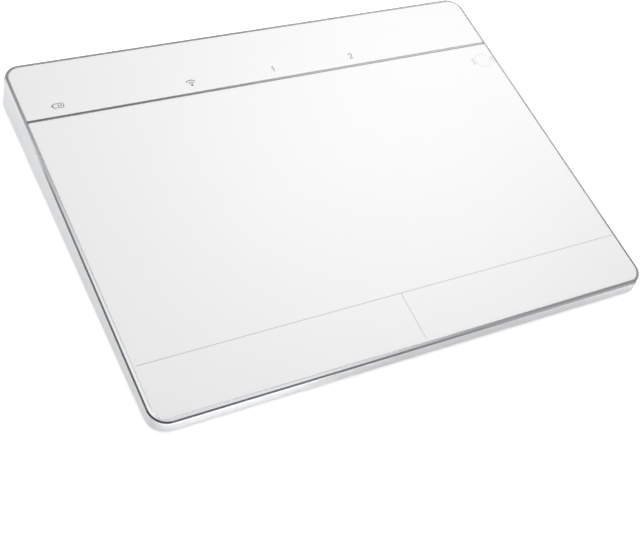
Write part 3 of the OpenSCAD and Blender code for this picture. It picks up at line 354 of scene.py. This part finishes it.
def stroke(points, width, closed=False):
    """Left and right edge of a line of a width drawn through plan points."""
    n = len(points)
    left, right = [], []
    for i, p in enumerate(points):
        p = Vector(p)
        before = (p - Vector(points[i - 1])).normalized() if i or closed else None
        after = (Vector(points[(i + 1) % n]) - p).normalized() if i < n - 1 or closed else None
        before = before or after
        after = after or before
        along = (before + after).normalized()
        across = Vector((-along.y, along.x)) * (width / 2 / max(0.5, along.dot(after)))
        left.append(tuple(p + across))
        right.append(tuple(p - across))
    return left, right


def ink_corner(base, n, layer, edge, i):
    """Number of a stroke's point: its lower or upper layer, left or right edge, and place along the line."""
    return base + (layer * 2 + edge) * n + i % n


def printed(name, strokes, body, material):
    """Ink lines in one object; each stroke is its points in plan, its width, and whether it closes."""
    points, faces = [], []
    for line, width, closed in strokes:
        left, right = stroke(line, width, closed)
        n, base = len(line), len(points)
        for h in (ink_down, ink_up):
            for edge in (left, right):
                points += [(x / 1000, y / 1000, (top_z(y) - glass_down + h) / 1000) for x, y in edge]
        round_about = ((1, 0), (1, 1), (0, 1), (0, 0))
        for i in range(n if closed else n - 1):
            for k in range(4):
                here, beside_it = round_about[k], round_about[(k + 1) % 4]
                faces.append((ink_corner(base, n, *here, i), ink_corner(base, n, *beside_it, i),
                              ink_corner(base, n, *beside_it, i + 1), ink_corner(base, n, *here, i + 1)))
        if not closed:
            for i in (0, n - 1):
                end = [ink_corner(base, n, *side, i) for side in ((0, 0), (0, 1), (1, 1), (1, 0))]
                faces.append(tuple(end))
    obj = piece(name, points, faces, body)
    obj.data.materials.append(material)


def arc(x, y, r, start, end, steps=24):
    """Plan points along an arc, in degrees."""
    return [(x + r * math.cos(math.radians(start + (end - start) * i / steps)),
             y + r * math.sin(math.radians(start + (end - start) * i / steps))) for i in range(steps + 1)]


def ink(name, dark, light):
    """Fired ink: a matt grey whose cover thins out in specks of about 0.2 mm."""
    made, ink_tree, ink_shader = finish(name, Roughness=0.5, IOR=1.5)
    where = add(ink_tree, "ShaderNodeTexCoord").outputs["Object"]
    specks = add(ink_tree, "ShaderNodeTexNoise", {"Scale": 1000 / 0.2, "Detail": 2.0}, {"Vector": where})
    cover = add(ink_tree, "ShaderNodeMix", {"data_type": "RGBA", 6: linear(dark), 7: linear(light)},
                {0: specks.outputs["Fac"]})
    ink_tree.links.new(cover.outputs[2], ink_shader.inputs["Base Color"])
    return made


line_ink = ink("pale_grey_ink", "#CACACC", "#D4D4D6")
faint_ink = ink("faint_grey_ink", "#DCDCDE", "#E4E4E6")
tick_ink = ink("light_grey_ink", "#98989C", "#A4A4A8")
mark_ink = ink("mid_grey_ink", "#747478", "#86868A")
zone_y, zone_x0, zone_x1, divider_x, divider_end, line_w = -44.7, -80.4, 80.85, 1.17, -60.6, 0.26
zone_line = ([(zone_x0, zone_y), (zone_x1, zone_y)], line_w, False)
divider = ([(divider_x, zone_y), (divider_x, divider_end)], line_w, False)
printed("click_zone_lines", [zone_line, divider], "touch_plate", line_ink)
ring_x, ring_y, ring_r, ring_w = 76.55, 32.9, 2.93, 0.22
ring = arc(ring_x, ring_y, ring_r, 0, 360, 48)[:-1]
printed("edge_ring", [(ring, ring_w, True)], "touch_plate", faint_ink)
tick_half, tick_w, tick_pitch = 0.25, 0.42, 1.0
tick_columns = ((72.7, 33.0), (80.4, 32.65))
ticks = [([(x - tick_half, y), (x + tick_half, y)], tick_w, False)
         for x, middle in tick_columns for y in (middle - tick_pitch, middle, middle + tick_pitch)]
printed("edge_ticks", ticks, "touch_plate", tick_ink)


# Status strip
# A second sheet of the same glass, bonded to the carrier behind the gap. It carries four indicator marks
# that the light guides under it show through: battery, wireless and two channels.
strip_in = 1.31
strip_plan = outline(-half_w, half_w, groove_y + groove_w / 2, case_d / 2 - strip_in, gap_corner_r, glass_r,
                     corner_steps)
strip_rings = [on_slope(strip_plan, d, h) for d, h in edge_line]
strip = lofted("status_strip_sheet", strip_rings, "housing")
strip.data.materials.append(white_glass)
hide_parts("status_strip")

mark_y = 44.55
cell_x0, cell_x1, cell_half, cell_r, cell_w = -72.15, -68.95, 0.78, 0.45, 0.25
cell_plan = outline(cell_x0, cell_x1, mark_y - cell_half, mark_y + cell_half, cell_r, cell_r, 5)
cell = [([(x, y) for x, y, _, _ in cell_plan], cell_w, True)]
bar_places, bar_half, bar_w = (-70.5, -69.7), 0.3, 0.44
bars = [([(x, mark_y - bar_half), (x, mark_y + bar_half)], bar_w, False) for x in bar_places]
nub_x, nub_half, nub_w = cell_x0 - 0.3, 0.32, 0.4
nub = [([(nub_x, mark_y - nub_half), (nub_x, mark_y + nub_half)], nub_w, False)]
printed("battery_mark", cell + bars + nub, "housing", mark_ink)
fan_x, fan_y, fan_from, fan_to, fan_w = -27.85, 43.75, 42, 143, 0.32
fan = [(arc(fan_x, fan_y, r, fan_from, fan_to), fan_w, False) for r in (1.05, 1.95)]
dot_r, dot_w = 0.22, 0.42
dot = [(arc(fan_x, fan_y, dot_r, 0, 360, 12)[:-1], dot_w, True)]
printed("wireless_mark", fan + dot, "housing", mark_ink)
numeral_half = 1.0
one_x, one_w = 0.85, 0.32
one = [(one_x - 0.45, mark_y + 0.55), (one_x, mark_y + numeral_half), (one_x, mark_y - numeral_half)]
printed("channel_mark_1", [(one, one_w, False)], "housing", mark_ink)
two_x, two_w, bowl_r = 29.5, 0.3, 0.55
bowl = arc(two_x, mark_y + 0.45, bowl_r, 170, -35, 14)
two = bowl + [(two_x - bowl_r, mark_y - numeral_half), (two_x + 0.6, mark_y - numeral_half)]
printed("channel_mark_2", [(two, two_w, False)], "housing", mark_ink)


# Trim bead and carrier
# A drawn aluminium bead fills the gap between the two sheets. It is glued to the lip of the dark moulded
# carrier that holds the status strip.
# Drawn aluminium: satin, with fine lines along the bead, about 0.15 mm apart. Its dark grey is deeper than
# the metal's own silver: painted shade that stands in for the gap between the two sheets.
bead_metal_with_painted_shade, tree, shader = finish("drawn_aluminium_with_painted_groove_shade", Metallic=1.0)
place = add(tree, "ShaderNodeTexCoord").outputs["Object"]
stretch = add(tree, "ShaderNodeMapping", {"Scale": (0.05, 1.0, 1.0)}, {"Vector": place})
lines = add(tree, "ShaderNodeTexNoise", {"Scale": 1000 / 0.15, "Detail": 2.0},
            {"Vector": stretch.outputs["Vector"]})
rough = add(tree, "ShaderNodeMapRange", {"To Min": 0.2, "To Max": 0.3}, {"Value": lines.outputs["Fac"]})
tone = add(tree, "ShaderNodeMix", {"data_type": "RGBA", 6: linear("#929396"), 7: linear("#9D9EA1")},
           {0: lines.outputs["Fac"]})
tree.links.new(tone.outputs[2], shader.inputs["Base Color"])
tree.links.new(rough.outputs["Result"], shader.inputs["Roughness"])
bead_end, bead_y0, bead_y1, bead_top, bead_foot, bead_r = 81.27, 40.05, 40.61, -0.1, -0.95, 0.1
bead_line = eased([(bead_y0, bead_foot), (bead_y1, bead_foot), (bead_y1, bead_top), (bead_y0, bead_top)],
                  [0, 0, bead_r, bead_r])
bead_rings = [[(x, y, top_z(y) + level) for y, level in bead_line] for x in (-bead_end, bead_end)]
bead = lofted("trim_bead_strip", bead_rings, "housing")
bead.data.materials.append(bead_metal_with_painted_shade)
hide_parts("trim_bead")

# Dark polycarbonate: near black, with the low even sheen of a fine moulded grain of about 0.3 mm.
dark_pc, tree, shader = finish("dark_polycarbonate", Roughness=0.6, IOR=1.58)
place = add(tree, "ShaderNodeTexCoord").outputs["Object"]
grain = add(tree, "ShaderNodeTexNoise", {"Scale": 1000 / 0.3, "Detail": 2.0}, {"Vector": place})
tone = add(tree, "ShaderNodeMix", {"data_type": "RGBA", 6: linear("#343537"), 7: linear("#3E3F41")},
           {0: grain.outputs["Fac"]})
tree.links.new(tone.outputs[2], shader.inputs["Base Color"])
dress(dark_pc, "strip_carrier", "left_click_switch", "right_click_switch", "power_switch", "charging_coil",
      "touch_controller", "main_controller", "radio_chip", "charging_chip", "charging_port_tongue",
      "battery_lead_negative")


# Charging port
# A drawn steel shell with a rolled lip, soldered to the main board behind the frame's rear opening. Inside
# it stands a moulded tongue with gold-plated contacts on both sides.
shell_w, shell_h, shell_t, shell_l, mouth_y, lip_r = 8.94, 3.26, 0.3, 7.3, 62.45, 0.12
lip = eased([(0.0, -shell_l), (0.0, 0.0), (-shell_t, 0.0), (-shell_t, -shell_l)], [0, lip_r, lip_r, 0])
shell_rings = [stadium(shell_w, shell_h, mouth_y + y, port_z, grow) for grow, y in lip]
shell = lofted("charging_port_sleeve", shell_rings, "housing", capped=False)
shell.data.materials.append(plated_steel)
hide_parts("charging_port_shell")

# Gold plate on the contacts: a warm yellow metal with slight wear in patches of 0.3 mm.
gold, tree, shader = finish("gold_plate", Metallic=1.0, Roughness=0.28)
place = add(tree, "ShaderNodeTexCoord").outputs["Object"]
wear = add(tree, "ShaderNodeTexNoise", {"Scale": 1000 / 0.3, "Detail": 3.0}, {"Vector": place})
tone = add(tree, "ShaderNodeMix", {"data_type": "RGBA", 6: linear("#C9A04E"), 7: linear("#E0BE72")},
           {0: wear.outputs["Fac"]})
tree.links.new(tone.outputs[2], shader.inputs["Base Color"])
dress(gold, "left_snap_dome", "right_snap_dome")
pad_w, pad_l, pad_t, pad_pitch, pad_count = 0.26, 2.6, 0.03, 0.5, 12
tongue_t, tongue_end, pad_back = 0.7, 61.2, 0.4
block_faces = ((0, 1, 2, 3), (4, 5, 6, 7), (0, 1, 5, 4), (1, 2, 6, 5), (2, 3, 7, 6), (3, 0, 4, 7))
contact_points, contact_faces = [], []
for side in (-1, 1):
    for i in range(pad_count):
        x = (i - (pad_count - 1) / 2) * pad_pitch
        corners = [(x + a * pad_w / 2, tongue_end - pad_back - b * pad_l,
                    port_z + side * (tongue_t / 2 + c * pad_t))
                   for c in (-1, 1) for a, b in ((-1, 0), (1, 0), (1, 1), (-1, 1))]
        base = len(contact_points)
        contact_points += [tuple(v / 1000 for v in p) for p in corners]
        contact_faces += [tuple(base + k for k in quad) for quad in block_faces]
contacts = piece("charging_port_contacts", contact_points, contact_faces, "housing")
contacts.data.materials.append(gold)


# Power knob
# A white ABS slider with four grip grooves across its face, its edges eased by the mould. Its stem runs
# through the frame's slot into the slide switch on the main board.
dress(abs_white, "power_knob")
eased_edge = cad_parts["power_knob"].modifiers.new("eased edges", "BEVEL")
eased_edge.width = 0.06 / 1000
eased_edge.segments = 2


# Inner pieces
# What the case closes in: the bonded sheets and boards of the touch plate, the main board with its parts,
# the battery with its leads, and the light guides of the strip.
# Solder mask on glass fibre: a deep green with the faint weave of the cloth, about 0.5 mm.
solder_mask, tree, shader = finish("green_solder_mask", Roughness=0.35, IOR=1.5)
place = add(tree, "ShaderNodeTexCoord").outputs["Object"]
weave = add(tree, "ShaderNodeTexChecker", {"Scale": 1000 / 0.5}, {"Vector": place})
tone = add(tree, "ShaderNodeMix", {"data_type": "RGBA", 6: linear("#1C5A3C"), 7: linear("#226646")},
           {0: weave.outputs["Fac"]})
tree.links.new(tone.outputs[2], shader.inputs["Base Color"])
dress(solder_mask, "touch_sensor_board", "main_board", "battery_guard_board")

# Rolled aluminium sheet and pouch foil: satin silver with rolling lines about 0.6 mm apart.
rolled, tree, shader = finish("rolled_aluminium", Metallic=1.0, Roughness=0.38)
place = add(tree, "ShaderNodeTexCoord").outputs["Object"]
stretch = add(tree, "ShaderNodeMapping", {"Scale": (0.04, 1.0, 1.0)}, {"Vector": place})
lines = add(tree, "ShaderNodeTexNoise", {"Scale": 1000 / 0.6, "Detail": 2.0},
            {"Vector": stretch.outputs["Vector"]})
tone = add(tree, "ShaderNodeMix", {"data_type": "RGBA", 6: linear("#BFC0C2"), 7: linear("#CFD0D2")},
           {0: lines.outputs["Fac"]})
tree.links.new(tone.outputs[2], shader.inputs["Base Color"])
dress(rolled, "stiffener_plate", "battery_cell")


def moulded(name, dark, light, grain_mm, roughness):
    """A small moulding or film in one colour, with a fine grain of a size in millimetres."""
    made, own, own_shader = finish(name, Roughness=roughness, IOR=1.53)
    where = add(own, "ShaderNodeTexCoord").outputs["Object"]
    fine = add(own, "ShaderNodeTexNoise", {"Scale": 1000 / grain_mm, "Detail": 2.0}, {"Vector": where})
    mixed = add(own, "ShaderNodeMix", {"data_type": "RGBA", 6: linear(dark), 7: linear(light)},
                {0: fine.outputs["Fac"]})
    own.links.new(mixed.outputs[2], own_shader.inputs["Base Color"])
    return made


dress(moulded("ivory_nylon", "#DDD8C6", "#E8E4D4", 0.3, 0.5), "flex_socket_plate", "flex_socket_board",
      "battery_header", "battery_plug", "chip_antenna")
dress(moulded("acrylic_tape", "#C3CCD6", "#D2DAE2", 1.5, 0.7), "touch_adhesive", "strip_adhesive",
      "battery_pad")
dress(moulded("clear_acrylic", "#E6EDF0", "#F0F5F7", 2.0, 0.1), "light_guide_battery", "light_guide_wireless",
      "light_guide_channel_1", "light_guide_channel_2", "led_battery", "led_wireless", "led_channel_1",
      "led_channel_2")
dress(moulded("red_acetal", "#7E2620", "#8E2E27", 0.3, 0.45), "left_plunger", "right_plunger",
      "battery_lead_positive")
dress(moulded("polyester_film", "#E4E4E0", "#EEEEEA", 0.8, 0.4), "flat_flex_cable")


# Studio
# A white sweep lit by a large softbox at the right rear, a gridded lamp overhead and two low softboxes. A low
# fill for the left wall stays out of reflections, and two table lamps light the floor by the front wall.
# The ceiling over the camera is bright, with a boom's shade in it, and the surround is dim.
floor_size, floor_z = 3.0, -0.00005
floor_plan = ((-1, -1), (1, -1), (1, 1), (-1, 1))
floor_mesh = bpy.data.meshes.new("floor")
floor_mesh.from_pydata([(x * floor_size, y * floor_size, floor_z) for x, y in floor_plan], [], [(0, 1, 2, 3)])
floor = bpy.data.objects.new("floor", floor_mesh)
bpy.context.collection.objects.link(floor)

# Studio paper: matt white near the object and greyer farther out, a painted falloff of light where the sweep
# runs out of it. Seen directly or mirrored it is lifted to full white near the object.
paper, tree, shader = finish("white_paper", Roughness=0.9)
place = add(tree, "ShaderNodeTexCoord").outputs["Object"]
away = add(tree, "ShaderNodeVectorMath", {"operation": "LENGTH"}, {0: place})
painted_light_falloff = add(tree, "ShaderNodeMapRange",
           {"interpolation_type": "SMOOTHSTEP", "From Min": 0.19, "From Max": 0.32},
           {"Value": away.outputs["Value"]})
tone = add(tree, "ShaderNodeMix", {"data_type": "RGBA", 6: linear("#F3F3F3"), 7: linear("#B4B4B6")},
           {0: painted_light_falloff.outputs["Result"]})
path = add(tree, "ShaderNodeLightPath")
seen = add(tree, "ShaderNodeMath", {"operation": "MAXIMUM"},
           {0: path.outputs["Is Camera Ray"], 1: path.outputs["Is Glossy Ray"]})
seen = add(tree, "ShaderNodeMath", {"operation": "MAXIMUM"},
           {0: seen.outputs[0], 1: path.outputs["Is Transmission Ray"]})
near = add(tree, "ShaderNodeMapRange", {"From Min": 1.0, "From Max": 0.0, "To Max": 0.5},
           {"Value": painted_light_falloff.outputs["Result"]})
lift = add(tree, "ShaderNodeMath", {"operation": "MULTIPLY"}, {0: seen.outputs[0], 1: near.outputs["Result"]})
tree.links.new(tone.outputs[2], shader.inputs["Base Color"])
shader.inputs["Emission Color"].default_value = (1.0, 1.0, 1.0, 1.0)
tree.links.new(lift.outputs[0], shader.inputs["Emission Strength"])
floor_mesh.materials.append(paper)

# The room round the sweep, by direction: the ceiling, the shade on its boom, the right side and the surround.
dome = bpy.data.worlds.new("soft_dome")
bpy.context.scene.world = dome
dome.use_nodes = True
tree = dome.node_tree
sky = tree.nodes["Background"]
toward = add(tree, "ShaderNodeTexCoord").outputs["Generated"]
to_ceiling, to_camera, to_right = (-0.337, -0.304, 0.891), (-0.743, -0.669, 0.0), (0.985, 0.174, 0.0)
to_boom = (0.0, -0.25, 0.968)
height = add(tree, "ShaderNodeSeparateXYZ", {}, {0: toward})
overhead = add(tree, "ShaderNodeVectorMath", {"operation": "DOT_PRODUCT", 1: to_ceiling}, {0: toward})
ceiling = add(tree, "ShaderNodeMapRange",
              {"interpolation_type": "SMOOTHSTEP", "From Min": 0.58, "From Max": 0.73},
              {"Value": overhead.outputs["Value"]})
ceiling = add(tree, "ShaderNodeMapRange",
              {"interpolation_type": "SMOOTHSTEP", "From Min": 0.45, "From Max": 0.65},
              {"Value": height.outputs["Z"], "To Max": ceiling.outputs["Result"]})
beside = add(tree, "ShaderNodeVectorMath", {"operation": "DOT_PRODUCT", 1: to_right}, {0: toward})
beside = add(tree, "ShaderNodeMapRange",
             {"interpolation_type": "SMOOTHSTEP", "From Min": 0.935, "From Max": 0.985, "To Min": 0.315,
              "To Max": 0.19}, {"Value": beside.outputs["Value"]})
behind = add(tree, "ShaderNodeVectorMath", {"operation": "DOT_PRODUCT", 1: to_camera}, {0: toward})
surround = add(tree, "ShaderNodeMapRange",
               {"interpolation_type": "SMOOTHSTEP", "From Min": 0.0, "From Max": 0.6, "To Max": 0.08},
               {"Value": behind.outputs["Value"], "To Min": beside.outputs["Result"]})
boom = add(tree, "ShaderNodeVectorMath", {"operation": "DOT_PRODUCT", 1: to_boom}, {0: toward})
shade = add(tree, "ShaderNodeMapRange",
            {"interpolation_type": "SMOOTHSTEP", "From Min": 0.9, "From Max": 0.97, "To Min": 1.0,
             "To Max": 0.76}, {"Value": boom.outputs["Value"]})
level = add(tree, "ShaderNodeMix", {"data_type": "FLOAT"},
            {0: ceiling.outputs["Result"], 2: surround.outputs["Result"], 3: shade.outputs["Result"]})
tree.links.new(level.outputs[0], sky.inputs["Strength"])
sky.inputs["Color"].default_value = (1.0, 1.0, 1.0, 1.0)


def softbox(name, place, aim, size, power, spread=180):
    """An area lamp, wide and high in metres, turned to a point; a grid narrows its beam to an angle."""
    lamp = bpy.data.lights.new(name, "AREA")
    lamp.shape = "RECTANGLE"
    lamp.size, lamp.size_y = size
    lamp.energy = power
    lamp.spread = math.radians(spread)
    obj = bpy.data.objects.new(name, lamp)
    obj.location = place
    obj.rotation_euler = (Vector(aim) - Vector(place)).to_track_quat("-Z", "Y").to_euler()
    bpy.context.collection.objects.link(obj)
    return obj


softbox("rear_softbox", (0.402, 0.303, 0.394), (0.04, 0.02, 0.01), (0.3, 0.5), 1.0)
softbox("overhead_lamp", (0.01, 0.025, 0.42), (0.01, 0.025, 0.01), (0.22, 0.22), 0.078, 60)
softbox("left_softbox", (-0.428, 0.39, 0.112), (-0.083, 0.045, 0.008), (0.2, 0.2), 0.085)
softbox("right_softbox", (0.4, -0.44, 0.11), (0.065, -0.063, 0.005), (0.2, 0.2), 0.022)
left_fill = softbox("left_fill", (-0.3, 0.25, 0.034), (-0.083, 0.02, 0.006), (0.2, 0.05), 0.036, 70)
left_fill.visible_glossy = False
softbox("front_table_lamp", (-0.062, -0.112, 0.2), (-0.062, -0.112, 0.0), (0.05, 0.03), 0.43, 20)
softbox("right_table_lamp", (0.085, -0.118, 0.2), (0.085, -0.118, 0.0), (0.03, 0.03), 0.16, 20)


# Camera
# A long lens from the front left, high enough to show the whole top.
eye = Vector((-0.17266, -0.1967, 0.27337))
forward = Vector((0.43986, 0.47322, -0.76327)).normalized()
upward = Vector((0.22439, 0.76504, 0.60363))
right = forward.cross(upward).normalized()
up = right.cross(forward)
lens = bpy.data.cameras.new("camera")
lens.sensor_width = 36.0
lens.lens = 68.72
lens.clip_start = 0.01
camera = bpy.data.objects.new("camera", lens)
turned = Matrix((right, up, -forward)).transposed().to_4x4()
camera.matrix_world = Matrix.Translation(eye) @ turned
bpy.context.collection.objects.link(camera)
bpy.context.scene.camera = camera
bpy.context.scene.view_settings.view_transform = "Standard"
